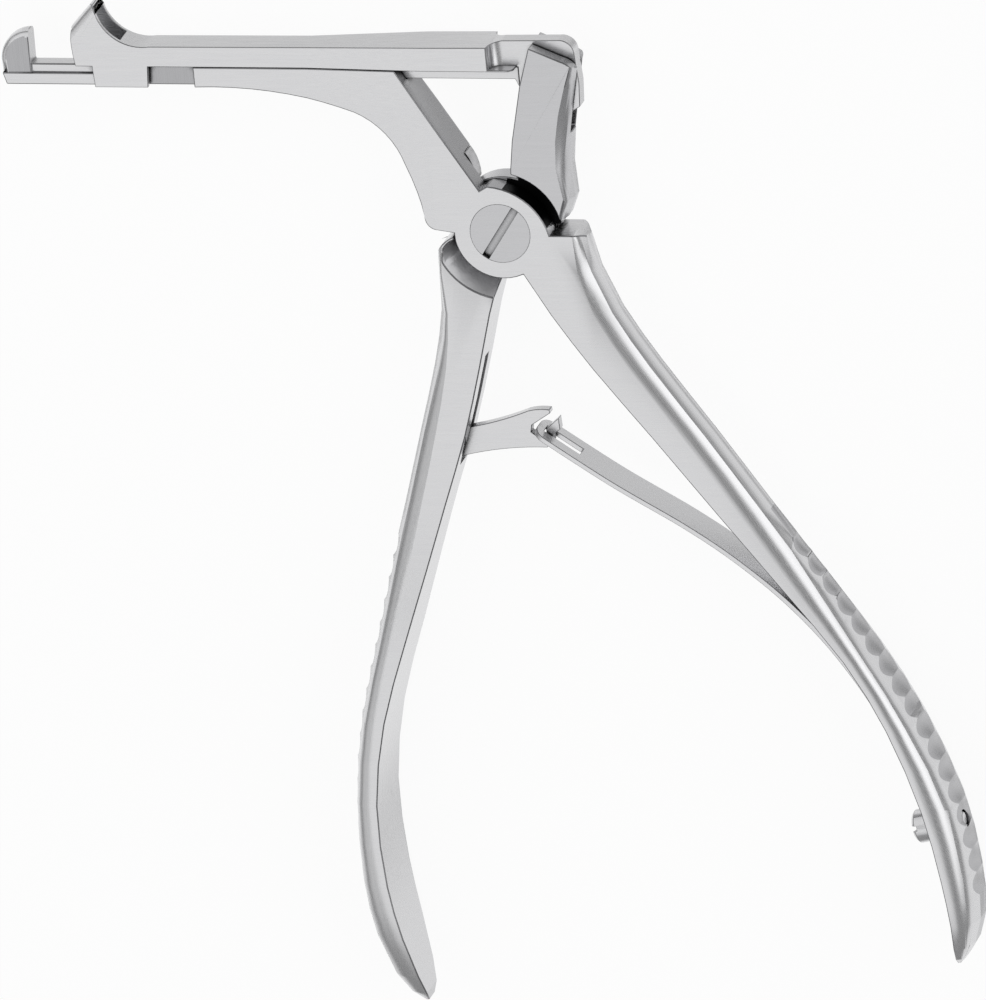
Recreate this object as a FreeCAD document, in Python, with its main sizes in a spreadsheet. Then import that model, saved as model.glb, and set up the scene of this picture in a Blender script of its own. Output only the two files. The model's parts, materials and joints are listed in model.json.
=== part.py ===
import FreeCAD, Part
import math
import os
import Sketcher

# Sliding-shaft bone punch, handles open, lying on its side.
# Outlines are drawn from the pivot: X along the shaft towards the handles' side,
# Y up the lever, Z through the thickness with 0 on the lap between the two halves.

V = FreeCAD.Vector

doc = FreeCAD.newDocument("bone_punch")
sheet = doc.addObject("Spreadsheet::Sheet", "dimensions")

# Driving dimensions in millimetres, angles in degrees
driving = {
    "pivot_x": 5.32,
    "pivot_y": 40.95,
    "pivot_z": 5.8,
    "body_thickness": 6.66,
    "lap_gap": 0.02,
    "boss_radius": 6.65,
    "far_boss_radius": 7.1,
    "far_boss_clearance": 0.15,
    "disc_clearance": 0.15,
    "recess_radius": 8.9,
    "screw_head_radius": 4.25,
    "screw_head_height": 1.7,
    "screw_shank_radius": 2.6,
    "running_gap": 0.04,
    "screw_slot_width": 1.1,
    "screw_slot_depth": 0.7,
    "screw_slot_angle": 55.4,
    "shaft_thickness": 4.7,
    "foot_thickness": 2.95,
    "bar_thickness": 3.1,
    "rail_thickness": 2.4,
    "keel_thickness": 2.3,
    "tail_thickness": 2.4,
    "fork_slot": 2.6,
    "cheek_slot": 3.24,
    "chip_channel": 3.4,
    "base_bottom": 20.65,
    "cheek_bottom": 20.6,
    "ledge_thickness": 0.25,
    "base_top": 23.6,
    "slide_gap": 0.05,
    "keel_bottom": 21.85,
    "cutter_front": -59.05,
    "foot_face": -65.4,
    "shoulder_y": -0.3,
    "drive_pin_radius": 1.1,
    "drive_pin_x": 8.2,
    "drive_pin_y": 19.8,
    "drive_pin_play": 0.12,
    "leaf_width": 6.0,
    "leaf_thickness": 0.7,
    "leaf_slot_width": 2.0,
    "leaf_screw_y": -87.6,
    "leaf_screw_head": 2.35,
    "leaf_screw_height": 2.2,
    "leaf_screw_shank": 1.25,
    "link_thickness": 1.5,
    "link_slit": 1.7,
    "link_pin_radius": 0.6,
    "section_step": 6.0,
    "flute_count": 17,
    "flute_pitch": 3.4,
    "flute_depth": 0.45,
    "flute_top": -45.2,
    "link_pin_x": -10.0,
    "link_pin_y": -31.6,
}
for row, (alias, value) in enumerate(driving.items(), start=1):
    sheet.set("A%d" % row, alias)
    sheet.set("B%d" % row, str(value))
    sheet.setAlias("B%d" % row, alias)
doc.recompute()


def dim(alias):
    return float(sheet.get(alias))


half_body = dim("body_thickness") / 2
half_shaft = dim("shaft_thickness") / 2
half_tail = dim("tail_thickness") / 2
slider_bottom = dim("base_top") + dim("slide_gap")


# Helpers

def new_body(name):
    body = doc.addObject("PartDesign::Body", name)
    body.Label = name
    for axis in "xyz":
        body.setExpression("Placement.Base." + axis, "dimensions.pivot_" + axis)
    return body


def plane(body, role):
    for feature in body.Origin.OriginFeatures:
        if feature.Role == role:
            return feature
    raise ValueError(role)


def new_sketch(body, name, role="XY_Plane", offset=0.0):
    sketch = body.newObject("Sketcher::SketchObject", name)
    sketch.AttachmentSupport = (plane(body, role), "")
    sketch.MapMode = "FlatFace"
    sketch.AttachmentOffset = FreeCAD.Placement(V(0, 0, offset), FreeCAD.Rotation())
    return sketch


def draw(sketch, start, *moves):
    """A closed outline: each move is a point for a line, or two points for an arc."""
    here = V(start[0], start[1], 0)
    for move in list(moves) + [start]:
        if len(move) == 4:
            through = V(move[0], move[1], 0)
            there = V(move[2], move[3], 0)
            sketch.addGeometry(Part.Arc(here, through, there))
            here = there
        else:
            there = V(move[0], move[1], 0)
            if here.distanceToPoint(there) > 1e-6:
                sketch.addGeometry(Part.LineSegment(here, there))
            here = there


def draw_circle(sketch, x, y, radius_alias):
    circle = Part.Circle(V(x, y, 0), V(0, 0, 1), dim(radius_alias))
    index = sketch.addGeometry(circle)
    number = sketch.addConstraint(Sketcher.Constraint("Radius", index, dim(radius_alias)))
    sketch.renameConstraint(number, "radius")
    sketch.setExpression("Constraints.radius", "dimensions." + radius_alias)


def pad(body, sketch, length, midplane=True, downward=False):
    feature = body.newObject("PartDesign::Pad", sketch.Name + "_pad")
    feature.Profile = sketch
    feature.setExpression("Length", length)
    feature.Midplane = midplane
    feature.Reversed = downward
    return feature


def pocket(body, sketch, length=None, midplane=True, upward=False):
    """Cuts through everything without a length; a one-sided pocket goes down unless upward."""
    feature = body.newObject("PartDesign::Pocket", sketch.Name + "_pocket")
    feature.Profile = sketch
    feature.Midplane = midplane
    feature.Reversed = upward
    if length:
        feature.setExpression("Length", length)
    else:
        feature.Type = "ThroughAll"
    return feature


def both_sides(body, name, thickness_alias, start, *moves):
    """Thins a region of the side outline down to a given thickness, from both sides."""
    sketch = new_sketch(body, name, offset=dim(thickness_alias) / 2)
    sketch.setExpression("AttachmentOffset.Base.z", "dimensions.%s / 2" % thickness_alias)
    draw(sketch, start, *moves)
    cut = pocket(body, sketch, "dimensions.body_thickness", midplane=False, upward=True)
    mirror = body.newObject("PartDesign::Mirrored", name + "_far")
    mirror.Originals = [cut]
    mirror.MirrorPlane = (plane(body, "XY_Plane"), "")
    body.Tip = mirror


def flank_arc(flat_x, crease_x, half, crease_z, lip):
    """Middle of the arc from the flat flank to the crease, leaving the flat at the lip angle."""
    run, fall = crease_x - flat_x, half - crease_z
    bend = math.atan2(fall, abs(run)) - math.radians(lip)
    bulge = math.tan(bend / 2) / 2
    return flat_x + run / 2 + math.copysign(fall * bulge, run), half - fall / 2 + abs(run) * bulge


def smooth_stations(stations, longest):
    """Fills in stations on a smooth curve where they lie further apart than the longest step."""
    slopes = []
    for number in range(len(stations)):
        first = stations[max(number - 1, 0)]
        last = stations[min(number + 1, len(stations) - 1)]
        slopes.append([(b - a) / (last[0] - first[0]) for a, b in zip(first, last)])
    filled = []
    for number, (above, below) in enumerate(zip(stations, stations[1:])):
        step = below[0] - above[0]
        parts = math.ceil(abs(step) / longest)
        for part in range(parts):
            t = part / parts
            leave, arrive = t * (1 - t) ** 2 * step, t * t * (t - 1) * step
            blend = t * t * (3 - 2 * t)
            filled.append([a + (b - a) * blend + before * leave + after * arrive
                           for a, b, before, after in zip(above, below, slopes[number], slopes[number + 1])])
    return filled + [list(stations[-1])]


def grip(body, name, side, stations):
    """A forged arm cut level at each station: height, inside, width of the flat flank, crown,
    half thickness, drop from crown to crease and lip angle in degrees where the flat ends.
    Side is +1 where the back faces +X.
    """
    crease_share, back_share = 0.66, 0.3
    sections = []
    for number, (height, inside, flat, crown, half, drop, lip) in enumerate(stations):
        sketch = new_sketch(body, "%s_section_%d" % (name, number), "XZ_Plane", -height)
        flat_x, crease_x = inside + side * flat, crown - side * drop
        crease_z, back_z = crease_share * half, back_share * half
        mid_x, mid_z = flank_arc(flat_x, crease_x, half, crease_z, lip)
        draw(sketch, (inside, -half), (inside, half), (flat_x, half),
             (mid_x, mid_z, crease_x, crease_z), (crown, back_z), (crown, -back_z),
             (crease_x, -crease_z), (mid_x, -mid_z, flat_x, -half))
        sections.append(sketch)
    loft = body.newObject("PartDesign::AdditiveLoft", name)
    loft.Profile = sections[0]
    loft.Sections = sections[1:]
    loft.Ruled = True
    return loft


def crown_at(stations, height):
    """Where the crown of a grip lies at a height, between its stations."""
    for above, below in zip(stations, stations[1:]):
        if below[0] <= height <= above[0]:
            share = (above[0] - height) / (above[0] - below[0])
            return above[3] + (below[3] - above[3]) * share
    raise ValueError(height)


def finger_flutes(body, name, side, stations):
    """Scallops cut straight through the thickness along the back of a grip."""
    count, pitch, proud = int(dim("flute_count")), dim("flute_pitch"), 0.03
    height = dim("flute_top")
    cusps = []
    for number in range(count + 1):
        crown = crown_at(stations, height)
        cusps.append(V(crown + side * proud, height, 0))
        lean = crown_at(stations, height - 1) - crown
        height -= pitch / math.hypot(1, lean)
    moves = []
    for here, there in zip(cusps, cusps[1:]):
        along = (there - here).normalize()
        inward = V(along.y, -along.x, 0) * side
        middle = (here + there) * 0.5 + inward * dim("flute_depth")
        moves.append((middle.x, middle.y, there.x, there.y))
    clear = side * (max(abs(cusp.x) for cusp in cusps) + 5)
    sketch = new_sketch(body, name)
    draw(sketch, (cusps[0].x, cusps[0].y), *moves, (clear, cusps[-1].y), (clear, cusps[0].y))
    pocket(body, sketch)


def cylinder_cut(body, name, radius, start, direction, length):
    cut = body.newObject("PartDesign::SubtractiveCylinder", name)
    cut.setExpression("Radius", radius)
    cut.Height = length
    cut.Placement = FreeCAD.Placement(start, FreeCAD.Rotation(V(0, 0, 1), direction))
    return cut


def edges_near(shape, places, reach):
    names = []
    for number, edge in enumerate(shape.Edges, start=1):
        middle = edge.valueAt((edge.FirstParameter + edge.LastParameter) / 2)
        if any(middle.distanceToPoint(V(*place)) < reach for place in places):
            names.append("Edge%d" % number)
    return names


def round_edges(body, name, radius, places, reach=0.4, kind="Fillet"):
    doc.recompute()
    base = body.Tip
    names = edges_near(base.Shape, places, reach)
    feature = body.newObject("PartDesign::" + kind, name)
    feature.Base = (base, names)
    if kind == "Fillet":
        feature.Radius = radius
    else:
        feature.Size = radius
    return feature


# Fixed frame: foot, rail, base, arm, near half of the lap and rear handle in one forging

def shaft_flanks(body, name, left, right):
    """Flanks of the shaft in plan: narrow at the front, opening to the full thickness."""
    taper_start, taper_end, beyond = -26.0, -9.0, 8.0
    for side, suffix in ((1, "near"), (-1, "far")):
        sketch = new_sketch(body, name + "_" + suffix, "XZ_Plane")
        draw(sketch, (left, side * half_shaft), (taper_start, side * half_shaft),
             (taper_end, side * half_body), (right, side * half_body),
             (right, side * beyond), (left, side * beyond))
        pocket(body, sketch)


def build_frame():
    body = new_body("fixed_frame")
    top, bottom = dim("base_top"), dim("base_bottom")
    face, shoulder, boss = dim("foot_face"), dim("shoulder_y"), dim("boss_radius")
    side = new_sketch(body, "frame_side")
    draw(side,
         (-69.6, 22.35), (-69.1, bottom), (-42.0, bottom),
         (-30.6, 20.05, -19.4, 17.3), (-15.3, 14.4, -12.8, 10.0), (-11.5, 6.3, -10.6, 2.4),
         (-10.2, 0.95, -9.0, 0.35), (-boss, 0.0),
         (0.0, -boss, math.sqrt(boss ** 2 - shoulder ** 2), shoulder), (7.0, shoulder),
         (4.3, 4.43, -1.3, 6.85), (-2.4, 6.2), (-13.0, top), (face, top), (face, 28.4),
         (-68.44, 27.14, -69.7, 24.2), (-69.6, 22.35))
    pad(body, side, "dimensions.body_thickness")

    shaft_flanks(body, "frame_flank", -72.0, -3.0)
    both_sides(body, "foot", "foot_thickness",
               (-72, 22.35), (-42, 22.35), (-42, 30), (-72, 30))
    both_sides(body, "bar", "bar_thickness", (-72, 19), (-42, 19), (-42, 22.35), (-72, 22.35))
    both_sides(body, "rail", "rail_thickness",
               (face, 22.35), (-50, 22.35), (-50, 19), (-42, 19), (-42, 25), (face, 25))

    stations = smooth_stations([
        (shoulder, 1.5, 8.7, 11.6, half_body, 0.5, 28), (-6, 2.7, 7.8, 12.9, half_body, 0.7, 24),
        (-12, 6.1, 6.1, 15.4, half_body, 0.8, 14), (-20, 11.4, 5.2, 20.2, half_body, 0.9, 6),
        (-30, 18.9, 4.2, 27.0, half_body, 0.9, 0), (-41, 27.1, 3.1, 34.2, 3.5, 0.9, 0),
        (-52, 35.8, 1.8, 41.5, 4.3, 0.9, 0), (-62, 43.6, 0.9, 47.6, 5.2, 0.8, 0),
        (-72, 48.9, 0.6, 52.8, 5.6, 0.7, 0), (-84, 52.9, 0.5, 57.3, 5.7, 0.7, 0),
        (-94, 54.8, 0.5, 58.9, 5.8, 0.7, 0), (-101, 55.5, 0.5, 58.9, 5.4, 0.6, 0),
        (-104.6, 55.4, 0.4, 57.8, 4.6, 0.5, 0), (-106.6, 55.2, 0.3, 56.5, 3.3, 0.3, 0),
        (-107.7, 55.0, 0.15, 55.6, 1.7, 0.15, 0)], dim("section_step"))
    grip(body, "rear_grip", 1, stations)
    finger_flutes(body, "rear_flutes", 1, stations)
    ear = new_sketch(body, "shoulder_ear")
    draw(ear, (9.9, shoulder), (11.25, -0.7, 12.25, -2.3), (16, -2.3), (16, 2), (9.9, 2))
    pocket(body, ear)

    lap = new_sketch(body, "far_boss_seat")
    reach = dim("far_boss_radius") + dim("far_boss_clearance")
    lap.addGeometry(Part.Circle(V(0, 0, 0), V(0, 0, 1), reach))
    pocket(body, lap, "dimensions.body_thickness", midplane=False)
    swing = new_sketch(body, "lever_neck_swing")
    draw(swing, (-3.8, shoulder), (12.0, shoulder), (12.0, 10.5), (-5.04, 10.5),
         (-4.15, 8.7, -3.8, 6.0))
    pocket(body, swing, "dimensions.body_thickness", midplane=False)
    clear = new_sketch(body, "front_grip_clearance")
    draw(clear, (-12.0, -1.0), (-3.8, -1.0), (-3.8, 0.95), (-12.0, 0.95))
    pocket(body, clear, "dimensions.body_thickness", midplane=False)

    slot = new_sketch(body, "keel_slot")
    draw(slot, (-41.8, dim("keel_bottom") - 0.1), (-8, dim("keel_bottom") - 0.1), (-8, 26), (-41.8, 26))
    pocket(body, slot, "dimensions.keel_thickness + 0.1")

    seat = new_sketch(body, "screw_head_seat", offset=half_body)
    draw_circle(seat, 0, 0, "screw_head_radius")
    pocket(body, seat, "dimensions.screw_head_height", midplane=False)
    bore = new_sketch(body, "screw_bore")
    draw_circle(bore, 0, 0, "screw_shank_radius")
    pocket(body, bore)

    start, direction = leaf_screw_line()
    cylinder_cut(body, "leaf_screw_hole", "dimensions.leaf_screw_shank", start, direction, 12)
    round_edges(body, "foot_crown", 0.9, [(-68.3, 27.1, 1.55), (-68.3, 27.1, -1.55)], 0.8)
    return body


# Moving handle: front handle, far half of the lap and forked lever in one forging

def build_handle():
    body = new_body("moving_handle")
    boss = new_sketch(body, "far_boss", offset=-dim("lap_gap"))
    draw_circle(boss, 0, 0, "far_boss_radius")
    pad(body, boss, "dimensions.body_thickness / 2 - dimensions.lap_gap", False, True)

    heel = new_sketch(body, "stop_heel")
    draw(heel, (5.6, 0.2), (8.0, 0.2), (8.0, 2.6), (4.0, 2.6))
    pad(body, heel, "dimensions.body_thickness / 2 - dimensions.lap_gap", False, True)
    grip(body, "lever", 1, [
        (1.8, 1.8, 6.7, 9.4, half_body, 0.4, 30), (4.7, 2.0, 7.5, 10.6, half_body, 0.5, 30),
        (9.4, 2.3, 6.5, 10.4, half_body, 0.5, 30), (13.5, 2.9, 6.2, 10.9, half_body, 0.5, 30),
        (17.3, 3.75, 6.1, 11.6, half_body, 0.5, 30), (21.5, 4.7, 6.4, 12.4, half_body, 0.4, 30),
        (24.5, 5.65, 6.5, 12.9, half_body, 0.3, 30), (28.5, 6.9, 6.0, 13.1, half_body, 0.3, 30)])
    top = new_sketch(body, "lever_top")
    draw(top, (5.0, 27.8), (10.8, 25.3), (12.3, 24.4, 13.1, 22.8), (16.0, 22.8), (16.0, 31.0),
         (5.0, 31.0))
    pocket(body, top)

    stations = smooth_stations([
        (0.5, 1.5, 9.6, -9.9, half_body, 0.4, 25), (-6, -0.6, 8.3, -9.9, half_body, 0.6, 25),
        (-12, -2.6, 6.0, -10.1, half_body, 0.8, 25), (-20, -4.8, 4.8, -11.8, half_body, 0.8, 20),
        (-30, -7.8, 4.3, -14.8, half_body, 0.8, 15), (-40, -11.5, 3.5, -17.8, half_body, 0.8, 10),
        (-50, -15.1, 2.7, -20.9, 4.0, 0.8, 5), (-60, -18.7, 2.0, -23.7, 5.1, 0.8, 0),
        (-72, -22.8, 1.2, -27.1, 5.5, 0.8, 0), (-84, -24.9, 0.8, -28.9, 5.7, 0.7, 0),
        (-96, -24.5, 0.7, -29.1, 5.75, 0.7, 0), (-104, -23.2, 0.6, -27.9, 5.2, 0.6, 0),
        (-110, -21.9, 0.5, -25.9, 3.9, 0.5, 0), (-113, -21.3, 0.3, -24.0, 2.6, 0.4, 0),
        (-114.4, -21.4, 0.15, -22.4, 1.3, 0.2, 0)], dim("section_step"))
    grip(body, "front_grip", -1, stations)
    finger_flutes(body, "front_flutes", -1, stations)

    corner = new_sketch(body, "front_corner")
    draw(corner, (-5.0, 1.5), (-14, 1.5), (-14, -5.5), (-9.95, -5.5), (-8.85, -2.15, -6.2, -0.4))
    pocket(body, corner)
    rim = new_sketch(body, "dish_rim", offset=half_body)
    draw(rim, (3.0, -9.2), (-3.7, -8.945, -8.55, -4.54), (-8.2, -2.15, -6.4, -0.98), (0, 1), (3, 1))
    floor = new_sketch(body, "dish_floor", offset=-dim("lap_gap"))
    draw(floor, (3.0, -6.21), (-2.64, -6.375, -6.1, -3.23), (-6.6, -2.1, -6.4, -0.9), (0, 1), (3, 1))
    dish = body.newObject("PartDesign::SubtractiveLoft", "grip_dish")
    dish.Profile = rim
    dish.Sections = [floor]
    dish.Ruled = True
    recess = new_sketch(body, "near_boss_recess", offset=-dim("lap_gap"))
    inner, outer = dim("boss_radius") + dim("disc_clearance"), dim("recess_radius")
    draw(recess, (outer, 0), (0, outer, -outer, 0), (-inner, 0), (0, -inner, inner, 0))
    pocket(body, recess, "dimensions.body_thickness", midplane=False, upward=True)

    fork = new_sketch(body, "fork")
    draw(fork, (-2, 14.3), (16, 14.3), (16, 30), (-2, 30))
    pocket(body, fork, "dimensions.fork_slot")
    bore = new_sketch(body, "pivot_bore")
    running = dim("screw_shank_radius") + dim("running_gap")
    bore.addGeometry(Part.Circle(V(0, 0, 0), V(0, 0, 1), running))
    pocket(body, bore)
    cylinder_cut(body, "drive_pin_bore", "dimensions.drive_pin_radius",
                 V(dim("drive_pin_x"), dim("drive_pin_y"), -half_body - 1), V(0, 0, 1),
                 half_body + 1 + 2.5)

    slit = new_sketch(body, "link_slit")
    draw(slit, (-2, -18.5), (-6.5, -19.5), (-11.2, -29.2), (-12.9, -31.4), (-12.9, -33.8),
         (-11.6, -34.9), (-2, -34.9))
    pocket(body, slit, "dimensions.link_slit")
    cylinder_cut(body, "link_pin_bore", "dimensions.link_pin_radius",
                 V(dim("link_pin_x"), dim("link_pin_y"), -half_body - 1), V(0, 0, 1),
                 half_body + 1 + 2.2)
    return body


# Punch slider: hooded cutter, shaft, keel and hooked tail in one piece

def build_slider():
    body = new_body("punch_slider")
    front, floor = dim("cutter_front"), slider_bottom
    pin_x, keel, cheek = dim("drive_pin_x"), dim("keel_bottom"), dim("cheek_bottom")
    play = dim("drive_pin_radius") + dim("drive_pin_play")
    side = new_sketch(body, "slider_side")
    draw(side,
         (front + 0.3, floor), (-56.4, floor), (-56.2, cheek), (-48.6, cheek), (-48.4, floor),
         (-35.2, floor), (-34.4, keel), (3.6, keel), (5.5, 17.5), (pin_x - play, 17.3),
         (pin_x - play, 22.0), (pin_x, 22.0 + play, pin_x + play, 22.0), (pin_x + play, 17.0),
         (11.0, 17.0), (12.5, 17.9), (12.7, 21.3), (12.4, 25.4), (11.8, 27.0, 10.0, 27.6),
         (2.2, 27.5), (0.4, 27.2), (-10.0, 27.1), (-26.0, 26.7), (-48.0, 26.6),
         (-53.3, 28.2, -55.2, 31.3), (-55.65, 32.5), (-56.1, 32.4), (front, 29.2),
         (front - 0.05, 26.5, front + 0.3, floor))
    pad(body, side, "dimensions.body_thickness")

    shaft_flanks(body, "slider_flank", -62.0, -3.0)
    for direction, suffix in ((1, "near"), (-1, "far")):
        scoop = new_sketch(body, "tail_scoop_" + suffix, "XZ_Plane", -floor - dim("ledge_thickness"))
        draw(scoop, (0.4, direction * half_body), (0.5, direction * 2.9),
             (1.0, direction * 1.7, 2.2, direction * half_tail),
             (14, direction * half_tail), (14, direction * 8), (0.4, direction * 8))
        pocket(body, scoop, midplane=False)
        ledge = new_sketch(body, "tail_ledge_" + suffix, "XZ_Plane")
        draw(ledge, (3.0, direction * half_body), (3.75, direction * 3.0, 4.0, direction * 2.3),
             (4.0, direction * half_tail), (14, direction * half_tail), (14, direction * 8),
             (3.0, direction * 8))
        pocket(body, ledge)
    both_sides(body, "keel_flanks", "keel_thickness",
               (-48.0, 19), (4.2, 19), (4.2, floor), (-48.0, floor))

    round_edges(body, "hood_crown", 1.4,
                [(-57.6, 30.8, half_shaft), (-57.6, 30.8, -half_shaft)], 0.8)

    saddle = new_sketch(body, "cheek_slot")
    draw(saddle, (-60, 19), (-48, 19), (-48, floor), (-60, floor))
    pocket(body, saddle, "dimensions.cheek_slot")
    channel = new_sketch(body, "chip_channel")
    draw(channel, (front - 1, 24.5), (-55.6, 24.5), (-53.1, 25.4, -52.2, 27.9), (-52.2, 31.0),
         (-54.0, 33.4), (-55.2, 32.6), (front + 1.1, 29.0), (front - 1, 29.0))
    pocket(body, channel, "dimensions.chip_channel")
    return body


# Fasteners and pins

def build_pivot_screw():
    body = new_body("pivot_screw")
    profile = new_sketch(body, "screw_profile", "XZ_Plane")
    head, shank = dim("screw_head_radius"), dim("screw_shank_radius")
    under = half_body - dim("screw_head_height")
    draw(profile, (0, -half_body), (shank - 0.3, -half_body), (shank, -half_body + 0.3),
         (shank, under), (head, under), (head, half_body), (0, half_body))
    turned = body.newObject("PartDesign::Revolution", "screw_turned")
    turned.Profile = profile
    turned.ReferenceAxis = (profile, ["V_Axis"])
    turned.Angle = 360
    slot = new_sketch(body, "driver_slot", offset=half_body)
    angle = math.radians(dim("screw_slot_angle"))
    along = V(math.cos(angle), math.sin(angle), 0) * (head + 1)
    across = V(-math.sin(angle), math.cos(angle), 0) * (dim("screw_slot_width") / 2)
    corners = [along + across, across - along, V() - along - across, along - across]
    draw(slot, *[(corner.x, corner.y) for corner in corners])
    pocket(body, slot, "dimensions.screw_slot_depth", midplane=False)
    return body


def build_pin(name, radius, x, y, top):
    body = new_body(name)
    sketch = new_sketch(body, name + "_round", offset=-half_body)
    draw_circle(sketch, dim(x), dim(y), radius)
    pad(body, sketch, "dimensions.body_thickness / 2 + %g" % top, midplane=False)
    return body


def leaf_screw_line():
    """Start and direction of the leaf screw: square to the handle's inside at its height."""
    high, low = V(52.9, -84, 0), V(54.8, -94, 0)
    along = (low - high).normalize()
    outward = V(-along.y, along.x, 0)
    share = (dim("leaf_screw_y") - high.y) / (low.y - high.y)
    seat = high + (low - high) * share
    return seat - outward * 2.5, outward


# Leaf spring: flat strip screwed inside the rear handle, free end slotted for the link

def leaf_outline():
    """Middle line of the strip, from the free tip down to its end below the screw."""
    return [V(1.75, -29.55, 0), V(12.3, -36.9, 0), V(22.4, -43.2, 0), V(29.5, -48.4, 0),
            V(36.4, -54.7, 0), V(42.6, -62.3, 0), V(48.2, -72.0, 0), V(52.3, -84.0, 0),
            V(54.1, -93.5, 0)]


def build_leaf():
    middle = leaf_outline()
    path = Part.BSplineCurve()
    path.interpolate(middle)
    thick, wide = dim("leaf_thickness") / 2, dim("leaf_width") / 2
    upper, lower = [], []
    for point in middle:
        along = path.tangent(path.parameter(point))[0]
        across = V(-along.y, along.x, 0) * thick
        upper.append(point + across)
        lower.append(point - across)
    sides = []
    for points in (upper, lower):
        for first in range(0, len(points) - 1, 2):
            sides.append(Part.Arc(*points[first:first + 3]).toShape())
    ends = [Part.LineSegment(upper[0], lower[0]).toShape(),
            Part.LineSegment(upper[-1], lower[-1]).toShape()]
    face = Part.Face(Part.Wire(Part.__sortEdges__(sides + ends)))
    strip = face.extrude(V(0, 0, 2 * wide))
    strip.translate(V(0, 0, -wide))

    start, outward = leaf_screw_line()
    hole = Part.makeCylinder(dim("leaf_screw_shank") + 0.05, 6, start, outward)
    strip = strip.cut(hole)
    slot = Part.makeBox(4.9, 6, dim("leaf_slot_width"), V(2.6, -35, -dim("leaf_slot_width") / 2))
    strip = strip.cut(slot)
    corners = [edge for edge in strip.Edges
               if edge.BoundBox.XMax < 2.2 and edge.BoundBox.ZLength < 0.01
               and abs(edge.CenterOfMass.z) > wide - 0.1 and edge.Length < 1.0]
    strip = strip.makeFillet(2.2, corners)

    leaf = doc.addObject("Part::Feature", "leaf_spring")
    leaf.Label = "leaf_spring"
    leaf.Shape = strip
    leaf.Placement = FreeCAD.Placement(V(*[dim("pivot_" + axis) for axis in "xyz"]),
                                       FreeCAD.Rotation())
    return leaf


def build_leaf_screw():
    start, outward = leaf_screw_line()
    head, shank = dim("leaf_screw_head"), dim("leaf_screw_shank")
    seat = 2.5 - 0.98
    top = seat - dim("leaf_screw_height")
    body = new_body("leaf_screw")
    profile = new_sketch(body, "leaf_screw_profile", "XZ_Plane")
    draw(profile, (0, top), (head - 0.4, top), (head, top + 0.4), (head, seat),
         (shank, seat), (shank, 6.0), (shank - 0.4, 6.4), (0, 6.4))
    turned = body.newObject("PartDesign::Revolution", "leaf_screw_turned")
    turned.Profile = profile
    turned.ReferenceAxis = (profile, ["V_Axis"])
    turned.Angle = 360
    slot = new_sketch(body, "leaf_screw_slot", "YZ_Plane")
    draw(slot, (-0.35, top - 1), (0.35, top - 1), (0.35, top + 0.7), (-0.35, top + 0.7))
    pocket(body, slot)
    turn = FreeCAD.Rotation(V(0, 0, 1), outward)
    body.setExpression("Placement.Base.x", None)
    body.setExpression("Placement.Base.y", None)
    body.setExpression("Placement.Base.z", None)
    pivot = V(*[dim("pivot_" + axis) for axis in "xyz"])
    body.Placement = FreeCAD.Placement(pivot + start, turn)
    return body


# Spring link: flat plate hinged in the front handle, hooked through the leaf's slot

def build_link():
    body = new_body("spring_link")
    side = new_sketch(body, "link_side")
    draw(side,
         (-10.0, -29.9), (-3.7, -28.6, 0.7, -27.1), (2.3, -26.85, 3.8, -26.9), (3.9, -27.4),
         (1.1, -29.2), (0.9, -30.2), (2.6, -31.5), (3.0, -30.9), (3.1, -29.7), (5.0, -28.1),
         (5.1, -29.8), (4.0, -30.6), (4.0, -31.6), (3.0, -32.5), (-4.3, -32.9, -9.8, -34.0),
         (-12.0, -33.2, -11.8, -31.0))
    pad(body, side, "dimensions.link_thickness")
    bore = new_sketch(body, "link_bore")
    running = dim("link_pin_radius") + dim("running_gap")
    bore.addGeometry(Part.Circle(V(dim("link_pin_x"), dim("link_pin_y"), 0), V(0, 0, 1), running))
    pocket(body, bore)
    return body


pieces = [
    build_frame(),
    build_handle(),
    build_slider(),
    build_pivot_screw(),
    build_pin("drive_pin", "drive_pin_radius", "drive_pin_x", "drive_pin_y", 2.5),
    build_leaf(),
    build_leaf_screw(),
    build_link(),
    build_pin("link_pin", "link_pin_radius", "link_pin_x", "link_pin_y", 2.2),
]
doc.recompute()

for item in doc.Objects:
    if "Invalid" in item.State or "Error" in item.State:
        raise RuntimeError("%s did not build: %s" % (item.Name, item.State))
os.makedirs("parts", exist_ok=True)
for piece in pieces:
    shape = piece.Shape
    if shape.isNull() or not shape.isValid():
        raise RuntimeError("%s has no valid shape" % piece.Label)
    shape.exportStep("parts/%s.step" % piece.Label)
    box = shape.BoundBox
    print("%-14s solids %d volume %8.1f  x %.2f..%.2f y %.2f..%.2f z %.2f..%.2f" % (
        piece.Label, len(shape.Solids), shape.Volume, box.XMin, box.XMax, box.YMin, box.YMax,
        box.ZMin, box.ZMax))
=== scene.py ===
import bmesh
import bpy
import json
import math
from mathutils import Matrix, Vector


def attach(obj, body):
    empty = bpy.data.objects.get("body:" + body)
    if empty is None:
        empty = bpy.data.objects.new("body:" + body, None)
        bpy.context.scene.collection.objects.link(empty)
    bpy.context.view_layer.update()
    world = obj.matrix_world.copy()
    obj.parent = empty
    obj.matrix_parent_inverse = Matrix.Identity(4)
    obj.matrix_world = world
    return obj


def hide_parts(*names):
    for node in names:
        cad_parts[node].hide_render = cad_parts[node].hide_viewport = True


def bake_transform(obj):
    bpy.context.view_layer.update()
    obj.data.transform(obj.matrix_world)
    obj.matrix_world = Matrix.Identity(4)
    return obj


# Bone punch lying on its side: brushed stainless steel forgings, a screwed lap joint,
# a cutter sliding on a rail, and a leaf spring hooked to a folding link.

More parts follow.
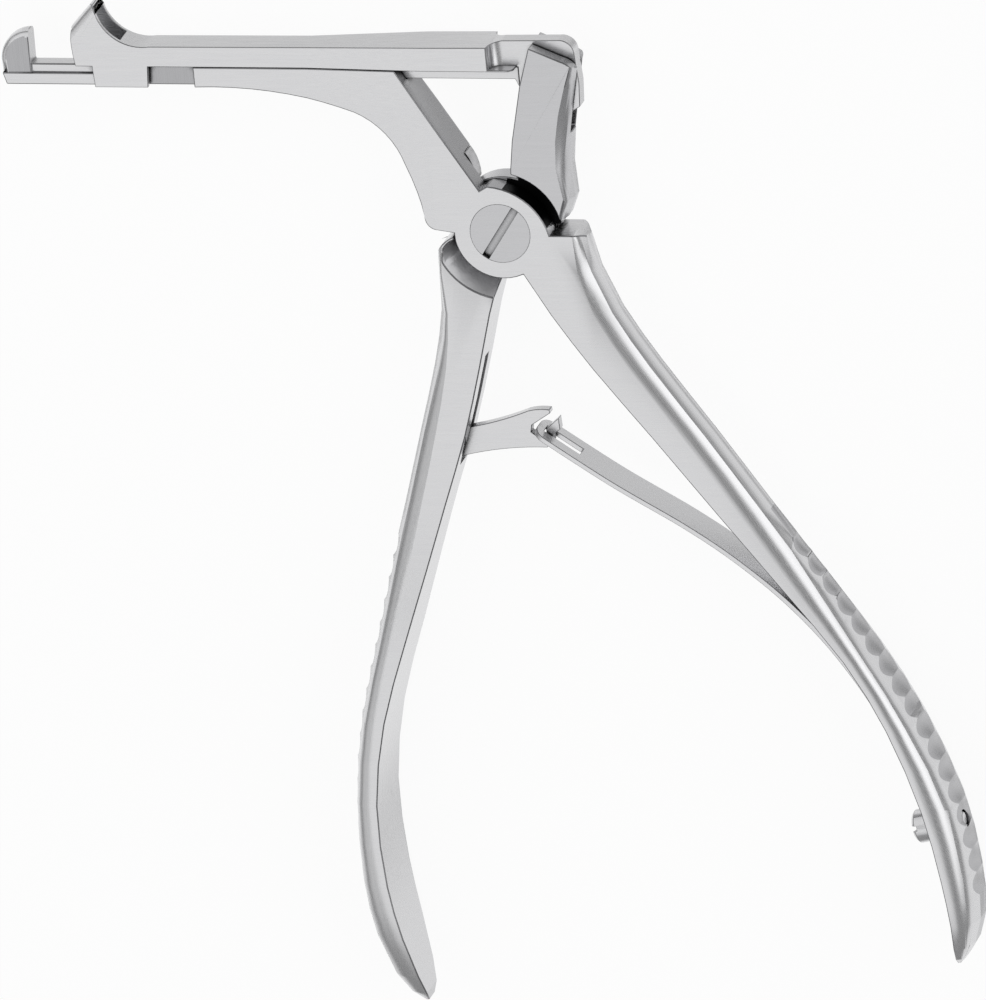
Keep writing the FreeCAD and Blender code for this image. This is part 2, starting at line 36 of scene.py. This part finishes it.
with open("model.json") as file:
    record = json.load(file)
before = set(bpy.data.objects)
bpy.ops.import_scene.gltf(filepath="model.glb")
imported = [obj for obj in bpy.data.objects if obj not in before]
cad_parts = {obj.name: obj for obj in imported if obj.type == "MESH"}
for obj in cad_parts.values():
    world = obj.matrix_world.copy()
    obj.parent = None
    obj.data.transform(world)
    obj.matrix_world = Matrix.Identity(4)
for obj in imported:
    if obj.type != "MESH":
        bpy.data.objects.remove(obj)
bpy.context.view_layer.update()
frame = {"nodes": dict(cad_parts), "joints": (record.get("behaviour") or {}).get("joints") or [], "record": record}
mm = 0.001
weld = 0.001 * mm    # corners nearer than this are one
joints = {joint["name"]: joint for joint in frame["joints"]}
pivot = Vector(joints["handle_pivot"]["pos_m"])
print("frame loaded:", len(frame["nodes"]), "nodes")


def srgb(hexColour):
    # an sRGB hex value such as b8b8ba, as the linear colour a shader wants
    parts = [int(hexColour[i:i + 2], 16) / 255 for i in (0, 2, 4)]
    return [c / 12.92 if c <= 0.04045 else ((c + 0.055) / 1.055) ** 2.4 for c in parts] + [1.0]


def at(x, y, z=0.0):
    # millimetres from the pivot to metres in the row frame
    return pivot + Vector((x, y, z)) * mm


def addNode(tree, kind, settings=None, links=None):
    # settings go to properties or to sockets by name or number; links name the sockets they come from
    node = tree.nodes.new(kind)
    for key, value in (settings or {}).items():
        if isinstance(key, str) and hasattr(node, key):
            setattr(node, key, value)
        else:
            node.inputs[key].default_value = value
    for key, source in (links or {}).items():
        tree.links.new(source, node.inputs[key])
    return node


# Camera: long lens, level with the photograph's view of the instrument lying on its side

camera = {
    "lens": 1600.0,
    "sensor": 36.0,
    "tallSide": 137.55 * mm,             # what the picture's taller side shows
    "centre": (-4.71, -39.3, 3.33),      # aim, in millimetres from the pivot
    "right": (0.9613, -0.0905, -0.2602),
    "up": (-0.0106, 0.9317, -0.3630),
}


def makeCamera(c):
    data = bpy.data.cameras.new("camera")
    data.lens, data.sensor_width = c["lens"], c["sensor"]
    right = Vector(c["right"]).normalized()
    back = right.cross(Vector(c["up"])).normalized()
    up = back.cross(right)
    away = c["tallSide"] * c["lens"] / c["sensor"]
    data.clip_start, data.clip_end = away * 0.5, away * 2
    eye = bpy.data.objects.new("camera", data)
    bpy.context.scene.collection.objects.link(eye)
    turn = Matrix((right, up, back)).transposed()
    eye.matrix_world = Matrix.Translation(at(*c["centre"]) + back * away) @ turn.to_4x4()
    bpy.context.scene.camera = eye


makeCamera(camera)
bpy.context.scene.view_settings.view_transform = "Standard"
print("camera made")

# Floor and light

studio = {
    "floorSize": 3.0,
    "floorColour": "fcfcfc",
    "floorGlow": 0.93,           # share of plain white that the camera sees in the floor
    # the room as the steel mirrors it: shapes around a direction, half width and height as sines of an
    # angle, how much of that is at full strength, and the strength
    "roomStrength": 0.34,
    "softboxes": [
        ((-0.28, -0.35, 0.89), (0.68, 0.6), 0.25, 0.75),
        ((0.81, 0.24, 0.52), (0.78, 0.44), 0.5, 1.3),
        ((-0.85, -0.30, 0.40), (0.5, 0.45), 0.4, 0.4),
    ],
    # the pale ground that the steel mirrors from below: its strength, then the share of it left at the
    # horizon and the slants, as sines, where it starts and has finished to clear
    "ground": 1.0,
    "groundFar": (0.3, 0.12, 0.42),
    # dark cards before that ground, two to the right and a wide grey one behind
    "darkCards": [
        ((0.43, 0.16, -0.89), (0.36, 0.30), 0.1, 0.55),
        ((0.28, -0.35, -0.89), (0.17, 0.17), 0.1, 0.4),
        ((-0.05, 0.42, -0.90), (0.7, 0.42), 0.3, 0.26),
    ],
    "lamps": [
        # name, place from the pivot in metres, size in metres, watts
        ("window", (-0.6, 0.55, 0.75), 1.2, 3.0),
    ],
}


def softShape(tree, vector, shape):
    # strength around a direction, falling off over an ellipse
    direction, halfSize, fullShare, strength = shape
    turn = Vector(direction).to_track_quat("Z", "Y").to_euler()
    local = addNode(tree, "ShaderNodeMapping",
                    {"vector_type": "TEXTURE", "Location": Vector(direction).normalized(), "Rotation": turn,
                     "Scale": (halfSize[0], halfSize[1], 1.0)}, {"Vector": vector})
    away = addNode(tree, "ShaderNodeVectorMath", {"operation": "LENGTH"}, {0: local.outputs[0]})
    fade = addNode(tree, "ShaderNodeMapRange",
                   {"interpolation_type": "SMOOTHSTEP", "From Min": 1.0, "From Max": fullShare,
                    "To Min": 0.0, "To Max": strength}, {"Value": away.outputs["Value"]})
    return fade.outputs["Result"]


def makeFloor(s):
    mesh = bpy.data.meshes.new("floor")
    half = s["floorSize"] / 2
    mesh.from_pydata([(-half, -half, 0), (half, -half, 0), (half, half, 0), (-half, half, 0)], [],
                     [(0, 1, 2, 3)])
    floor = bpy.data.objects.new("floor", mesh)
    bpy.context.scene.collection.objects.link(floor)
    paper = bpy.data.materials.new("white satin table")
    paper.use_nodes = True
    tree = paper.node_tree
    tree.nodes.clear()
    matt = addNode(tree, "ShaderNodeBsdfDiffuse", {"Color": srgb(s["floorColour"])})
    path = addNode(tree, "ShaderNodeLightPath")
    seen = addNode(tree, "ShaderNodeMath", {"operation": "MAXIMUM"},
                   {0: path.outputs["Is Camera Ray"], 1: path.outputs["Is Transmission Ray"]})
    amount = addNode(tree, "ShaderNodeMath", {"operation": "MULTIPLY", 1: s["floorGlow"]},
                     {0: seen.outputs[0]})
    glow = addNode(tree, "ShaderNodeEmission", {"Strength": 1.0})
    table = addNode(tree, "ShaderNodeMixShader", None,
                    {0: amount.outputs[0], 1: matt.outputs[0], 2: glow.outputs[0]})
    # the steel looks through the table at the world's ground, and shadow rays let that ground light it
    clear = addNode(tree, "ShaderNodeBsdfTransparent")
    mirrored = addNode(tree, "ShaderNodeMath", {"operation": "MAXIMUM"},
                       {0: path.outputs["Is Glossy Ray"], 1: path.outputs["Is Shadow Ray"]})
    mix = addNode(tree, "ShaderNodeMixShader", None,
                  {0: mirrored.outputs[0], 1: table.outputs[0], 2: clear.outputs[0]})
    addNode(tree, "ShaderNodeOutputMaterial", None, {"Surface": mix.outputs[0]})
    mesh.materials.append(paper)


def makeWorld(s):
    # a dim room with softboxes: over the lower left, a long bright one to the right, a weak one to the left
    world = bpy.data.worlds.new("studio")
    world.use_nodes = True
    tree = world.node_tree
    direction = addNode(tree, "ShaderNodeTexCoord").outputs["Generated"]
    height = addNode(tree, "ShaderNodeSeparateXYZ", None, {0: direction}).outputs["Z"]
    above = addNode(tree, "ShaderNodeValue").outputs[0]
    above.default_value = s["roomStrength"]
    for shape in s["softboxes"]:
        above = addNode(tree, "ShaderNodeMath", {"operation": "ADD"},
                        {0: above, 1: softShape(tree, direction, shape)}).outputs[0]
    share, start, stop = s["groundFar"]
    below = addNode(tree, "ShaderNodeMapRange",
                    {"interpolation_type": "SMOOTHSTEP", "From Min": -start, "From Max": -stop,
                     "To Min": share * s["ground"], "To Max": s["ground"]}, {"Value": height}).outputs[0]
    for card in s["darkCards"]:
        below = addNode(tree, "ShaderNodeMath", {"operation": "SUBTRACT"},
                        {0: below, 1: softShape(tree, direction, card)}).outputs[0]
    up = addNode(tree, "ShaderNodeMath", {"operation": "GREATER_THAN", 1: 0.0}, {0: height})
    strength = addNode(tree, "ShaderNodeMix", {"data_type": "FLOAT"}, {0: up.outputs[0], 2: below, 3: above})
    room = tree.nodes["Background"]
    room.inputs["Color"].default_value = (1.0, 1.0, 1.0, 1.0)
    tree.links.new(strength.outputs[0], room.inputs["Strength"])
    bpy.context.scene.world = world


def makeLamps(s):
    for name, place, size, watts in s["lamps"]:
        data = bpy.data.lights.new(name, "AREA")
        data.shape, data.size, data.energy = "SQUARE", size, watts
        lamp = bpy.data.objects.new(name, data)
        lamp.location = pivot + Vector(place)
        aim = (at(0, -40) - lamp.location).normalized()
        lamp.rotation_mode = "QUATERNION"
        lamp.rotation_quaternion = aim.to_track_quat("-Z", "Y")
        bpy.context.scene.collection.objects.link(lamp)


makeFloor(studio)
makeWorld(studio)
makeLamps(studio)
print("studio made")

# Stainless steels

forgedSteel = {
    "colour": "dadadb",
    "darker": "cacacc",
    "roughness": 0.28,
    "grainAcross": 0.09 * mm,    # spacing of the brushing lines, coarser than the real 0.02 mm so it shows
    "grainAlong": 6.0 * mm,
    "bump": 0.006,
    # painted shade in narrow gaps and corners: its colour, its reach, and the range of openness over which it
    # fades
    "creviceShadeColour": "161617",
    "creviceShadeReach": 1.3 * mm,
    "creviceShadeFull": 0.3,             # how open a spot is, from 0 to 1, where it is darkest and where it is clear
    "creviceShadeClear": 0.72,
}


def brushedSteel(name, steel, angle=0.0):
    # martensitic stainless, belt-ground then satin brushed: a bright neutral grey with fine parallel lines
    material = bpy.data.materials.new(name)
    material.use_nodes = True
    tree = material.node_tree
    shader = tree.nodes["Principled BSDF"]
    shader.inputs["Metallic"].default_value = 1.0
    place = addNode(tree, "ShaderNodeTexCoord")
    turned = addNode(tree, "ShaderNodeMapping", {"Rotation": (0, 0, angle)},
                     {"Vector": place.outputs["Object"]})
    lines = addNode(tree, "ShaderNodeMapping",
                    {"Scale": (1 / steel["grainAlong"], 1 / steel["grainAcross"], 1 / steel["grainAcross"])},
                    {"Vector": turned.outputs[0]})
    grain = addNode(tree, "ShaderNodeTexNoise", {"Scale": 1.0, "Detail": 3.0, "Roughness": 0.6},
                    {"Vector": lines.outputs[0]})
    tint = addNode(tree, "ShaderNodeValToRGB", None, {"Fac": grain.outputs["Fac"]})
    tint.color_ramp.elements[0].position = 0.3
    tint.color_ramp.elements[0].color = srgb(steel["darker"])
    tint.color_ramp.elements[1].position = 0.7
    tint.color_ramp.elements[1].color = srgb(steel["colour"])
    # painted shade: ambient occlusion darkens narrow gaps, corners and crevices towards near-black, standing in
    # for the shade that falls there
    occlusionShade = addNode(tree, "ShaderNodeAmbientOcclusion",
                  {"samples": 8, "Distance": steel["creviceShadeReach"]})
    unshaded = addNode(tree, "ShaderNodeMapRange",
                       {"From Min": steel["creviceShadeFull"], "From Max": steel["creviceShadeClear"], "To Min": 0.0,
                        "To Max": 1.0}, {"Value": occlusionShade.outputs["AO"]})
    colour = addNode(tree, "ShaderNodeMix", {"data_type": "RGBA", 6: srgb(steel["creviceShadeColour"])},
                     {0: unshaded.outputs["Result"], 7: tint.outputs["Color"]})
    tree.links.new(colour.outputs[2], shader.inputs["Base Color"])
    rough = addNode(tree, "ShaderNodeMapRange",
                    {"From Min": 0.3, "From Max": 0.7, "To Min": steel["roughness"] - 0.05,
                     "To Max": steel["roughness"] + 0.06}, {"Value": grain.outputs["Fac"]})
    tree.links.new(rough.outputs["Result"], shader.inputs["Roughness"])
    relief = addNode(tree, "ShaderNodeBump", {"Strength": steel["bump"], "Distance": 0.02 * mm},
                     {"Height": grain.outputs["Fac"]})
    tree.links.new(relief.outputs["Normal"], shader.inputs["Normal"])
    return material


def variant(steel, **changes):
    return {**steel, **changes}


leverFinish = variant(forgedSteel, colour="c8c8ca", darker="bababc")
# painted shade: a darker copy of the steel, brushed upright, for the rail, the foot and the arm's slanted end
railShadeFinish = variant(forgedSteel, colour="b4b4b6", darker="a2a2a4")
# painted shade: the fluted backs of the handles get a darker copy of the steel, brushed across the flutes as they
# are ground
fluteShadeFinish = variant(forgedSteel, colour="b6b6b8", darker="a6a6a8")
softFinish = variant(forgedSteel, colour="c4c4c6", darker="bebec0", roughness=0.45)
# painted shade: a dark copy of the steel on the broken edges draws thin shade lines along them
edgeShadeFinish = variant(forgedSteel, colour="8e8e90", darker="868688")
alongRear, alongFront, acrossFlutes = math.radians(58), math.radians(97), math.radians(-25)

flatSteel = brushedSteel("satin brushed stainless steel", forgedSteel)
leverSteel = brushedSteel("satin brushed stainless steel, lever", leverFinish)
railShadeSteel = brushedSteel("stainless steel brushed upright, painted darker for shade", railShadeFinish, math.pi / 2)
rearGripSteel = brushedSteel("stainless steel belt-ground along the rear handle", forgedSteel, alongRear)
frontGripSteel = brushedSteel("stainless steel belt-ground along the front handle", forgedSteel, alongFront)
fluteShadeSteel = brushedSteel("stainless steel, ground finger flutes", fluteShadeFinish, acrossFlutes)
softSteel = brushedSteel("stainless steel with a soft blasted finish", softFinish)
edgeShadeSteel = brushedSteel("stainless steel, broken edge painted dark as a shade line", edgeShadeFinish)


def paintedGrooveShade():
    # painted shade: near-black steel on the faces deep in the lap, standing in for the shade and dark reflections
    # there
    material = bpy.data.materials.new("steel painted near-black for the shade in the lap")
    material.use_nodes = True
    shader = material.node_tree.nodes["Principled BSDF"]
    shader.inputs["Base Color"].default_value = srgb("19191a")
    shader.inputs["Metallic"].default_value = 1.0
    shader.inputs["Roughness"].default_value = 0.5
    return material


grooveShadeSteel = paintedGrooveShade()

# Pieces: each solid gets broken edges and smooth faces


def creaseEdges(mesh, lean=0.62, above=0.4, cusp=math.radians(8.0)):
    # edges where a grip's rolled flank meets the straight slope to its back, and cusps between its flutes
    faces = {}
    for face in mesh.polygons:
        for key in face.edge_keys:
            faces.setdefault(key, []).append(face)
    for edge in mesh.edges:
        pair = faces[tuple(sorted(edge.vertices))]
        if len(pair) != 2:
            continue
        one, two = sorted(pair, key=lambda face: abs(face.normal.z))
        low, high = abs(one.normal.z), abs(two.normal.z)
        bulges = (two.center - one.center).dot(one.normal) < 0
        if above < low < lean < high < 0.9:
            yield edge
        elif high < 0.3 and bulges and one.normal.angle(two.normal) > cusp:
            yield edge


# where the finishes lie, in millimetres and degrees from the pivot
finishPlaces = {
    "grooveWall": (5.5, 7.8),        # radii of the lap's curved wall, seen over the screw
    "grooveFloor": 7.0,
    "grooveAngles": (4.0, 84.0),
    "armEndX": (-14.0, 1.0),         # the arm's slanted end, turned to the lever
    "armEndY": (6.0, 22.0),
    "armEndFacing": (0.8, 0.6, 0.0),
    "railX": (-52.0, -42.0),
    "railBottom": 17.0,
    "footX": -66.0,
    "footBottom": 24.0,
    "flutesTop": -43.0,
    "rearGripTop": -4.0,
    "rearGripLeft": 3.0,
    "frontGripTop": -12.0,
    "leverBottom": 2.0,
    "dish": (6.0, 13.0),             # radii of the hollow in the front handle beside the disc
}


def steelAt(node, face, places):
    # which finish a face has, by where it lies and which way it faces; the groove, rail and flute finishes carry
    # painted shade
    middle = (face.center - pivot) / mm
    x, y, z = middle
    up = abs(face.normal.z)
    reach, angle = middle.xy.length, math.degrees(math.atan2(y, x))

    def within(value, key):
        return places[key][0] < value < places[key][1]

    if node == "fixed_frame":
        outward = face.normal.dot(middle) > 0
        # painted shade: the disc's curved wall turned to the lever, deep in the lap, is painted near-black
        if up < 0.3 and within(reach, "grooveWall") and within(angle, "grooveAngles") and outward:
            return grooveShadeSteel
        atArmEnd = within(x, "armEndX") and within(y, "armEndY")
        # painted shade: the arm's end turned to the lever, the recessed rail flats and the foot take the darker
        # steel
        if up < 0.5 and atArmEnd and face.normal.dot(places["armEndFacing"]) > 0.5:
            return railShadeSteel
        onRail = within(x, "railX") and y > places["railBottom"]
        onFoot = x < places["footX"] and y > places["footBottom"]
        if up > 0.95 and (onRail or onFoot):
            return railShadeSteel
        # painted shade: flute faces on the rear handle's back take the darker steel
        if y < places["flutesTop"] and up < 0.1 and face.normal.x > 0.5:
            return fluteShadeSteel
        if y < places["rearGripTop"] and x > places["rearGripLeft"] and up < 0.995:
            return rearGripSteel
    if node == "moving_handle":
        onLap = face.normal.z > 0.9 and abs(z) < 0.6
        # painted shade: the moving handle's lap face around the screw is painted near-black
        if onLap and reach < places["grooveFloor"] and angle < places["grooveAngles"][1]:
            return grooveShadeSteel
        if y > places["leverBottom"]:
            return leverSteel
        inward = face.normal.dot(middle) < 0
        if within(reach, "dish") and y < 0 and z > 0 and up < 0.95 and inward:
            return softSteel
        # painted shade: flute faces on the front handle's back take the darker steel
        if y < places["flutesTop"] and up < 0.1 and face.normal.x < -0.5:
            return fluteShadeSteel
        if y < places["frontGripTop"] and up < 0.995:
            return frontGripSteel
    return leverSteel if node == "pivot_screw" else flatSteel


# where one flat carries two finishes: its height, a spot on the line between them, and the line's angle
finishParts = {
    "moving_handle": (0.0, (0.0, 0.0), 84.0),
    "fixed_frame": (1.2, (-52.0, 22.0), 90.0),
}

bevels = {
    "segments": 2,
    "crease": 28.0,          # degrees from which an edge stays sharp to the eye
    "broken": 36.0,          # degrees from which an edge is broken
    "shortest": 1.2,         # an edge shorter than this many widths is left as it is
    "screwReach": 5.0,       # the screw's own edges and its seat, in millimetres from the pivot
    "screwShare": 0.35,      # how much of the width they get
    "flat": 0.4,             # degrees under which two faces are one
}


def dressed(node, width, mesh, b):
    # a piece from the given mesh, merged, with its sharp edges broken by the given width
    mesh.name = node + "_dressed"
    mesh.materials.clear()
    work = bmesh.new()
    work.from_mesh(mesh)
    bmesh.ops.remove_doubles(work, verts=work.verts, dist=weld)
    bmesh.ops.dissolve_degenerate(work, edges=work.edges, dist=weld)
    bmesh.ops.dissolve_limit(work, angle_limit=math.radians(b["flat"]), verts=work.verts, edges=work.edges)
    if node in finishParts:
        level, spot, turn = finishParts[node]
        flats = [face for face in work.faces
                 if face.normal.z > 0.9 and abs(face.calc_center_median().z - at(0, 0, level).z) < 0.6 * mm]
        around = {item for face in flats for item in [face, *face.edges, *face.verts]}
        turn = math.radians(turn)
        bmesh.ops.bisect_plane(work, geom=list(around), plane_co=at(*spot),
                               plane_no=(-math.sin(turn), math.cos(turn), 0))
    breaks = work.edges.layers.float.new("bevel_weight_edge")
    for seam in work.edges:
        sharp = len(seam.link_faces) == 2 and seam.calc_face_angle() > math.radians(b["broken"])
        if sharp and seam.calc_length() > b["shortest"] * width:
            aroundScrew = max((v.co - pivot).xy.length for v in seam.verts) < b["screwReach"] * mm
            seam[breaks] = b["screwShare"] if aroundScrew else 1.0
    work.to_mesh(mesh)
    work.free()
    piece = bpy.data.objects.new(node + "_dressed", mesh)
    bpy.context.scene.collection.objects.link(piece)
    bevel = piece.modifiers.new("broken edges", "BEVEL")
    bevel.width, bevel.segments = width, b["segments"]
    bevel.limit_method = "WEIGHT"
    bevel.use_clamp_overlap = False
    # painted shade: the broken edges get the dark edge steel, drawn as shade lines
    bevel.material = 0     # the first finish of every piece is the broken edge
    for face in mesh.polygons:
        face.use_smooth = True
    mesh.set_sharp_from_angle(angle=math.radians(b["crease"]))
    for seam in creaseEdges(mesh):
        seam.use_edge_sharp = True
    return piece


# The spring strip follows its middle line, slotted for the link's hook at the free end

strip = {
    # its middle line in millimetres from the pivot, from the free tip to the end below the screw
    "line": [(1.75, -29.55), (12.3, -36.9), (22.4, -43.2), (29.5, -48.4), (36.4, -54.7), (42.6, -62.3),
             (48.2, -72.0), (52.3, -84.0), (54.1, -93.5)],
    "sizes": {"Width": 6.0, "Thickness": 0.7, "Slot Width": 2.0, "Slot Start": 1.1, "Slot Length": 5.9,
              "Hole Radius": 1.3, "Hole Place": 80.4, "Step": 1.6},
    "cornerRadius": 2.2,
}


def stripTree(sizes):
    tree = bpy.data.node_groups.new("strip along a line", "GeometryNodeTree")
    tree.interface.new_socket("Geometry", in_out="OUTPUT", socket_type="NodeSocketGeometry")
    tree.interface.new_socket("Geometry", in_out="INPUT", socket_type="NodeSocketGeometry")
    tree.interface.new_socket("Material", in_out="INPUT", socket_type="NodeSocketMaterial")
    tree.interface.new_socket("Origin", in_out="INPUT", socket_type="NodeSocketVector")
    for name in sizes:
        tree.interface.new_socket(name, in_out="INPUT", socket_type="NodeSocketFloat")
    given = addNode(tree, "NodeGroupInput").outputs
    line = addNode(tree, "GeometryNodeMeshToCurve", None, {0: given["Geometry"]})
    line = addNode(tree, "GeometryNodeCurveSplineType", {"spline_type": "CATMULL_ROM"}, {0: line.outputs[0]})
    line = addNode(tree, "GeometryNodeResampleCurve", {"mode": "LENGTH"},
                   {0: line.outputs[0], "Length": given["Step"]})
    line = addNode(tree, "GeometryNodeSetCurveNormal", {"mode": "Z_UP"}, {0: line.outputs[0]}).outputs[0]
    section = addNode(tree, "GeometryNodeCurvePrimitiveQuadrilateral", None,
                      {"Width": given["Thickness"], "Height": given["Width"]})
    band = addNode(tree, "GeometryNodeCurveToMesh", {"Fill Caps": True},
                   {"Curve": line, "Profile Curve": section.outputs[0]})

    def placed(cutter, along):
        # a cutter at a length along the line, its X axis turned along it
        spot = addNode(tree, "GeometryNodeSampleCurve", {"mode": "LENGTH"}, {"Curves": line, "Length": along})
        turn = addNode(tree, "FunctionNodeAlignRotationToVector", {"axis": "X"},
                       {"Vector": spot.outputs["Tangent"]})
        return addNode(tree, "GeometryNodeTransform", None,
                       {"Geometry": cutter, "Translation": spot.outputs["Position"],
                        "Rotation": turn.outputs[0]}).outputs[0]

    through = 5.0      # how far the cutters reach through the strip
    slotSize = addNode(tree, "ShaderNodeCombineXYZ", {"Y": through},
                       {"X": given["Slot Length"], "Z": given["Slot Width"]})
    slotBox = addNode(tree, "GeometryNodeMeshCube", None, {"Size": slotSize.outputs[0]})
    half = addNode(tree, "ShaderNodeMath", {"operation": "MULTIPLY", 1: 0.5}, {0: given["Slot Length"]})
    slotPlace = addNode(tree, "ShaderNodeMath", {"operation": "ADD"},
                        {0: given["Slot Start"], 1: half.outputs[0]})
    drill = addNode(tree, "GeometryNodeMeshCylinder", {"Vertices": 24, "Depth": through},
                    {"Radius": given["Hole Radius"]})
    drill = addNode(tree, "GeometryNodeTransform", {"Rotation": (math.pi / 2, 0, 0)},
                    {"Geometry": drill.outputs[0]})
    cut = addNode(tree, "GeometryNodeMeshBoolean", {"operation": "DIFFERENCE", "solver": "EXACT"},
                  {0: band.outputs[0]})
    tree.links.new(placed(slotBox.outputs[0], slotPlace.outputs[0]), cut.inputs[1])
    tree.links.new(placed(drill.outputs[0], given["Hole Place"]), cut.inputs[1])
    whole = addNode(tree, "GeometryNodeTransform", {"Scale": (mm, mm, mm)},
                    {"Geometry": cut.outputs[0], "Translation": given["Origin"]})
    whole = addNode(tree, "GeometryNodeRealizeInstances", None, {0: whole.outputs[0]})
    whole = addNode(tree, "GeometryNodeSetMaterial", None,
                    {"Geometry": whole.outputs[0], "Material": given["Material"]})
    addNode(tree, "NodeGroupOutput", None, {0: whole.outputs[0]})
    return tree


def makeStrip(s, material):
    points = [(x, y, 0.0) for x, y in s["line"]]
    lineMesh = bpy.data.meshes.new("strip_line")
    lineMesh.from_pydata(points, [(i, i + 1) for i in range(len(points) - 1)], [])
    carrier = bpy.data.objects.new("strip_line", lineMesh)
    bpy.context.scene.collection.objects.link(carrier)
    sweep = carrier.modifiers.new("strip", "NODES")
    sweep.node_group = stripTree(s["sizes"])
    values = {"Material": material, "Origin": pivot, **s["sizes"]}
    for item in sweep.node_group.interface.items_tree:
        if item.in_out == "INPUT" and item.name in values:
            sweep[item.identifier] = values[item.name]
    swept = carrier.evaluated_get(bpy.context.evaluated_depsgraph_get())
    mesh = bpy.data.meshes.new_from_object(swept)
    bpy.data.objects.remove(carrier)
    # the free tip's two corners are round
    work = bmesh.new()
    work.from_mesh(mesh)
    bmesh.ops.remove_doubles(work, verts=work.verts, dist=weld)
    tip = at(*s["line"][0])
    nearTip, outOfMiddle, shortEdge = 0.6 * mm, 2.9 * mm, 1.0 * mm
    corners = [edge for edge in work.edges
               if all((v.co - tip).xy.length < nearTip for v in edge.verts)
               and all(abs(v.co.z - tip.z) > outOfMiddle for v in edge.verts)
               and edge.calc_length() < shortEdge]
    bmesh.ops.bevel(work, geom=corners, offset=s["cornerRadius"] * mm, segments=6, profile=0.5,
                    affect="EDGES")
    work.to_mesh(mesh)
    work.free()
    return mesh


bodyOf = {node: body for body, nodes in frame["record"]["behaviour"]["bodies"].items() for node in nodes}
# how wide each piece's edges are broken, in millimetres
edgeWidth = {
    "fixed_frame": 0.16, "moving_handle": 0.16, "punch_slider": 0.1, "pivot_screw": 0.05,
    "drive_pin": 0.1, "leaf_spring": 0.08, "leaf_screw": 0.06, "spring_link": 0.1, "link_pin": 0.06,
}
pieces = {}
for node, width in edgeWidth.items():
    mesh = makeStrip(strip, flatSteel) if node == "leaf_spring" else frame["nodes"][node].data.copy()
    piece = dressed(node, width * mm, mesh, bevels)
    finishes = [edgeShadeSteel]
    for face in piece.data.polygons:
        finish = steelAt(node, face, finishPlaces)
        if finish not in finishes:
            finishes.append(finish)
        face.material_index = finishes.index(finish)
    for finish in finishes:
        piece.data.materials.append(finish)
    pieces[node] = piece
    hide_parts(node)
    if node != "leaf_spring":
        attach(piece, bodyOf[node])
print("pieces dressed:", len(pieces))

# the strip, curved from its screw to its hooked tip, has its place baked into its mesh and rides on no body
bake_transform(pieces["leaf_spring"])

print("done")
